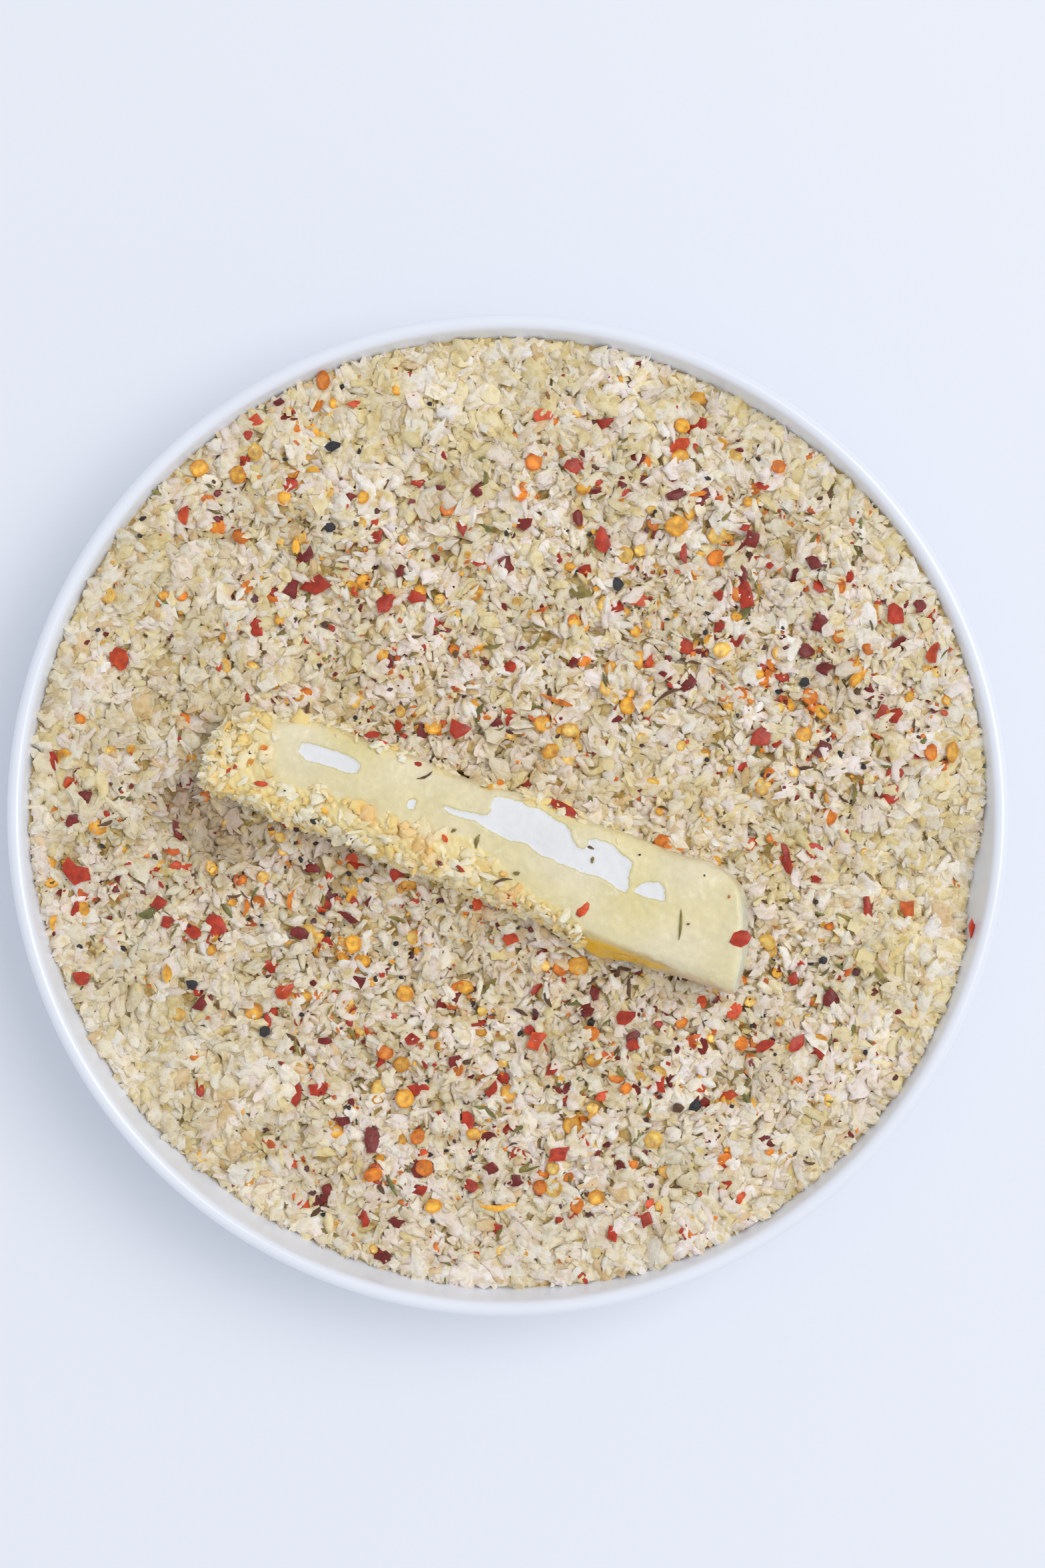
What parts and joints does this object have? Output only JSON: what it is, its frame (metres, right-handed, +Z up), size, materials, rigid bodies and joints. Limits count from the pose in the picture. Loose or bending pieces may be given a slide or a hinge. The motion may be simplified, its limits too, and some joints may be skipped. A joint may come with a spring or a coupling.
{
  "type": "breaded mozzarella stick in a bowl of crumbs",
  "caption": "Mozzarella stick, egg-washed and partly coated, lying in a shallow white bowl of panko crumbs seasoned with chili flakes, seeds and herbs.",
  "frame": {"origin": "on the bowl's axis, in the plane that its foot ring stands on", "axes": "+Z up along the bowl's axis; +X to the right and +Y to the top of the picture"},
  "size_m": [0.185, 0.185, 0.043],
  "materials": {
    "glaze": "glossy",
    "crumbs": "matte",
    "cheese": "satin"
  },
  "bodies": {
    "root": {"bowl": "glaze", "crumb_bed": "crumbs", "cheese_stick": "cheese"}
  },
  "joints": []
}
